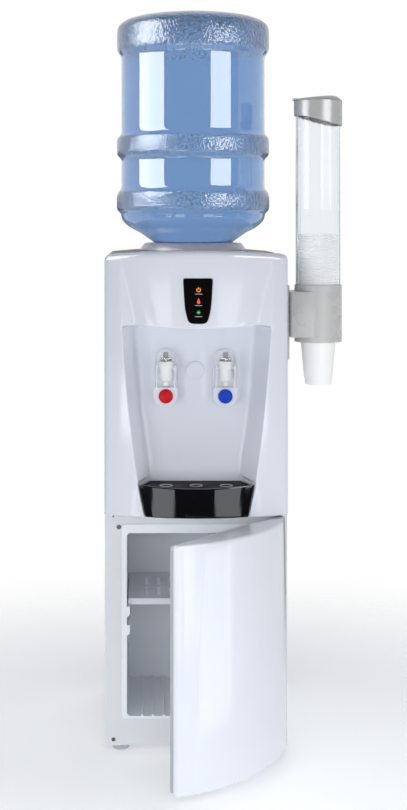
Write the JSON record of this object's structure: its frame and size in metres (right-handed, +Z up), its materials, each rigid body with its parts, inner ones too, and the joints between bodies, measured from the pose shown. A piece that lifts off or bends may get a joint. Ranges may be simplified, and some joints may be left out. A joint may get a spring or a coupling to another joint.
{
  "type": "bottled water cooler",
  "caption": "Floor-standing bottle water cooler with push taps, drip tray, cabinet behind an open hinged door, and a clear tube cup dispenser on one side.",
  "frame": {"origin": "centre of the overall footprint on the floor, open door and cup dispenser included", "axes": "+Z up, the front with taps and door faces -Y, +X is the right side seen from the front"},
  "size_m": [0.4074, 0.5989, 1.2595],
  "materials": {
    "painted_steel": "satin white",
    "white_plastic": "gloss white",
    "liner_plastic": "satin, bluish white",
    "collar_plastic": "satin light grey",
    "display_black": "gloss black",
    "tray_black": "gloss black",
    "circuit_board": "green board",
    "tap_plastic": "gloss white",
    "chrome": "plated",
    "grey_stem": "satin grey",
    "hot_button": "red",
    "cold_button": "blue",
    "bottle_plastic": "clear light blue polycarbonate",
    "cap_blue": "satin",
    "tank_steel": "stainless",
    "hose_silicone": "translucent silicone",
    "compressor_black": "gloss black",
    "dark_plastic": "satin black",
    "hot_rocker": "red",
    "cold_rocker": "green",
    "gasket_grey": "satin grey",
    "hinge_steel": "zinc plated",
    "foot_rubber": "grey",
    "brown_clip": "brown",
    "dispenser_grey": "gloss light grey",
    "clear_tube": "clear fluted acrylic",
    "cup_clear": "thin clear plastic"
  },
  "bodies": {
    "cabinet": {"base_plate": "painted_steel", "left_side_panel": "painted_steel", "right_side_panel": "painted_steel", "back_panel": "painted_steel", "foot_front_left": "foot_rubber", "foot_front_right": "foot_rubber", "foot_rear_left": "foot_rubber", "foot_rear_right": "foot_rubber", "cabinet_frame": "painted_steel", "cabinet_liner": "liner_plastic", "cabinet_shelf": "white_plastic", "ceiling_clip": "brown_clip", "divider_plate": "painted_steel", "tank_shelf": "painted_steel", "upper_housing": "white_plastic", "top_cover": "white_plastic", "bottle_collar": "collar_plastic", "display_panel": "display_black", "control_board": "circuit_board", "blank_plug": "white_plastic", "hot_tap_escutcheon": "white_plastic", "hot_tap_body": "tap_plastic", "hot_tap_nut": "chrome", "cold_tap_escutcheon": "white_plastic", "cold_tap_body": "tap_plastic", "cold_tap_nut": "chrome", "feed_probe": "white_plastic", "cold_tank": "tank_steel", "hot_tank": "tank_steel", "cold_hose": "hose_silicone", "hot_hose": "hose_silicone", "feed_hose": "hose_silicone", "compressor": "compressor_black", "condenser_grid": "dark_plastic", "drain_plug": "white_plastic", "cord_gland": "dark_plastic", "upper_hinge": "hinge_steel", "lower_hinge": "hinge_steel", "cup_mount_plate": "dispenser_grey", "cup_holder": "dispenser_grey", "cup_tube": "clear_tube", "tube_collar": "dispenser_grey", "cup_stack": "cup_clear"},
    "door": {"door_skin": "white_plastic", "door_liner": "liner_plastic", "door_gasket": "gasket_grey"},
    "hot_lever": {"hot_tap_lever": "tap_plastic", "hot_tap_button": "hot_button"},
    "cold_lever": {"cold_tap_lever": "tap_plastic", "cold_tap_button": "cold_button"},
    "hot_stem": {"hot_tap_stem": "grey_stem"},
    "cold_stem": {"cold_tap_stem": "grey_stem"},
    "bottle": {"water_bottle": "bottle_plastic", "bottle_cap": "cap_blue"},
    "tray": {"drip_tray": "tray_black"},
    "grille": {"drip_grille": "tray_black"},
    "tube_lid": {"cup_lid": "dispenser_grey"},
    "bottom_cup": {"lowest_cup": "cup_clear"},
    "hot_rocker": {"hot_switch": "hot_rocker"},
    "cold_rocker": {"cold_switch": "cold_rocker"}
  },
  "joints": [
    {"name": "door_hinge", "type": "hinge", "parent": "cabinet", "child": "door", "pos_m": [0.09175, -0.06631, 0.2], "axis": [0, 0, 1], "range_deg": [-52, 58]},
    {"name": "hot_lever_pivot", "type": "hinge", "parent": "cabinet", "child": "hot_lever", "pos_m": [-0.10175, -0.04281, 0.641], "axis": [1, 0, 0], "range_deg": [0, 9], "stiffness_Nm_per_rad": 0.5},
    {"name": "cold_lever_pivot", "type": "hinge", "parent": "cabinet", "child": "cold_lever", "pos_m": [-0.00175, -0.04281, 0.641], "axis": [1, 0, 0], "range_deg": [0, 9], "stiffness_Nm_per_rad": 0.5},
    {"name": "hot_stem_slide", "type": "slide", "parent": "cabinet", "child": "hot_stem", "axis": [0, 0, 1], "range_m": [0, 0.0023]},
    {"name": "cold_stem_slide", "type": "slide", "parent": "cabinet", "child": "cold_stem", "axis": [0, 0, 1], "range_m": [0, 0.0023]},
    {"name": "bottle_lift", "type": "slide", "parent": "cabinet", "child": "bottle", "axis": [0, 0, 1], "range_m": [0, 0.08]},
    {"name": "tray_slide", "type": "slide", "parent": "cabinet", "child": "tray", "axis": [0, -1, 0], "range_m": [0, 0.12]},
    {"name": "grille_lift", "type": "slide", "parent": "tray", "child": "grille", "axis": [0, 0, 1], "range_m": [0, 0.03]},
    {"name": "tube_lid_hinge", "type": "hinge", "parent": "cabinet", "child": "tube_lid", "pos_m": [0.11995, 0.03219, 1.0936], "axis": [0, -1, 0], "range_deg": [0, 100]},
    {"name": "cup_pull", "type": "slide", "parent": "cabinet", "child": "bottom_cup", "axis": [0, 0, -1], "range_m": [0, 0.11]},
    {"name": "hot_rocker_pivot", "type": "hinge", "parent": "cabinet", "child": "hot_rocker", "pos_m": [0.01525, 0.28749, 0.275], "axis": [1, 0, 0], "range_deg": [-12, 0]},
    {"name": "cold_rocker_pivot", "type": "hinge", "parent": "cabinet", "child": "cold_rocker", "pos_m": [0.04125, 0.28749, 0.275], "axis": [1, 0, 0], "range_deg": [-12, 0]}
  ],
  "couplings": [
    {"joint": "hot_stem_slide", "follows": "hot_lever_pivot", "m_per_rad": 0.0143},
    {"joint": "cold_stem_slide", "follows": "cold_lever_pivot", "m_per_rad": 0.0143}
  ]
}
